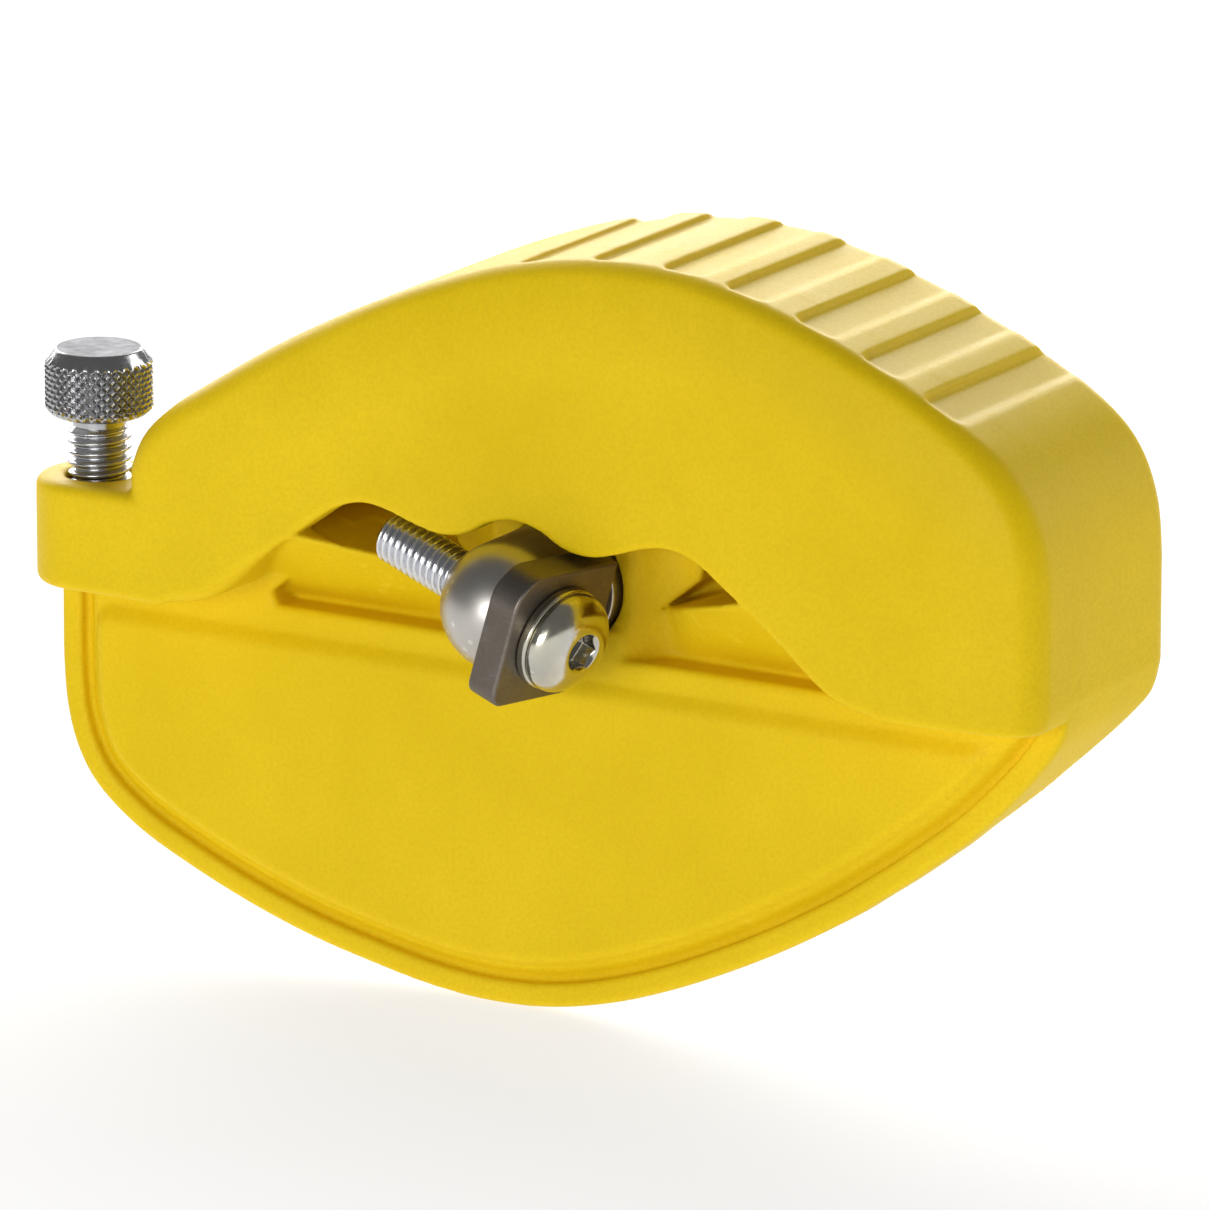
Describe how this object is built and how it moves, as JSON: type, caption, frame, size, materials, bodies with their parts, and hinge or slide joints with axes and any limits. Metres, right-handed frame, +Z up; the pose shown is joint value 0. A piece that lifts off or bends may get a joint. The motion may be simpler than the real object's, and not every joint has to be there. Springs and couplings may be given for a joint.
{
  "type": "ski sidewall planer",
  "caption": "Hand tool that planes ski sidewalls: a moulded guide body with a ribbed grip, a clamped square blade on a swivelling ball-nosed pin, and a knurled depth screw.",
  "frame": {"origin": "on the base guide face, straight under the cutter carrier's axis and 16 mm below the edge guide plane", "axes": "+X along the edge being planed, towards the end away from the depth screw; +Y from the base guide face into the hand grip, so the guide face's outward normal is -Y; +Z up, away from the guided side edge"},
  "size_m": [0.1067, 0.0347, 0.0726],
  "materials": {
    "housing": "fine spark-eroded matte, yellow",
    "cover": "fine spark-eroded matte, yellow",
    "dark_steel": "black oxide",
    "bronze": "sintered bronze",
    "satin_steel": "satin turned",
    "blade_steel": "ground",
    "zinc_steel": "bright zinc plate",
    "turned_steel": "bright turned, knurled",
    "brass": "turned",
    "nylon": "natural nylon"
  },
  "bodies": {
    "housing": {"front_housing": "housing", "rear_cover": "cover", "cover_screws": "dark_steel", "depth_screw_insert": "brass", "clamp_insert": "brass"},
    "sleeve": {"clamp_sleeve": "bronze"},
    "carrier": {"carrier_pin": "satin_steel", "blade": "blade_steel"},
    "washer": {"blade_washer": "zinc_steel"},
    "blade_screw": {"blade_screw": "zinc_steel"},
    "depth_foot": {"depth_foot": "nylon"},
    "depth_screw": {"depth_screw": "turned_steel"},
    "clamp_pad": {"clamp_pad": "brass"},
    "clamp_screw": {"clamp_screw": "dark_steel"}
  },
  "joints": [
    {"name": "cutter_rake", "type": "hinge", "parent": "housing", "child": "sleeve", "pos_m": [0, 0.01, 0.0215], "axis": [0, 1, 0], "range_deg": [-1.5, 1.5]},
    {"name": "cutter_reach", "type": "slide", "parent": "sleeve", "child": "carrier", "axis": [0, -1, 0], "range_m": [-0.002, 0.005]},
    {"name": "blade_screw_travel", "type": "slide", "parent": "carrier", "child": "washer", "axis": [0.9423, -0.1951, -0.2721], "range_m": [0, 0.003]},
    {"name": "blade_screw_turn", "type": "hinge", "parent": "washer", "child": "blade_screw", "pos_m": [0, -0.0078, 0.0215], "axis": [0.9423, -0.1951, -0.2721], "range_deg": [0, 1360]},
    {"name": "depth_travel", "type": "slide", "parent": "housing", "child": "depth_foot", "axis": [0, 0, 1], "range_m": [-0.0022, 0.002]},
    {"name": "depth_screw_turn", "type": "hinge", "parent": "depth_foot", "child": "depth_screw", "pos_m": [-0.0479, -0.0011, 0.03], "axis": [0, 0, 1], "range_deg": [-796, 724]},
    {"name": "clamp_travel", "type": "slide", "parent": "housing", "child": "clamp_pad", "axis": [0, 0, -1], "range_m": [0, 0.0006]},
    {"name": "clamp_screw_turn", "type": "hinge", "parent": "clamp_pad", "child": "clamp_screw", "pos_m": [0, 0.0082, 0.01], "axis": [0, 0, -1], "range_deg": [0, 273]}
  ],
  "couplings": [
    {"joint": "blade_screw_turn", "follows": "blade_screw_travel", "rad_per_m": 7854},
    {"joint": "depth_screw_turn", "follows": "depth_travel", "rad_per_m": 6283.2},
    {"joint": "clamp_screw_turn", "follows": "clamp_travel", "rad_per_m": 7854}
  ]
}
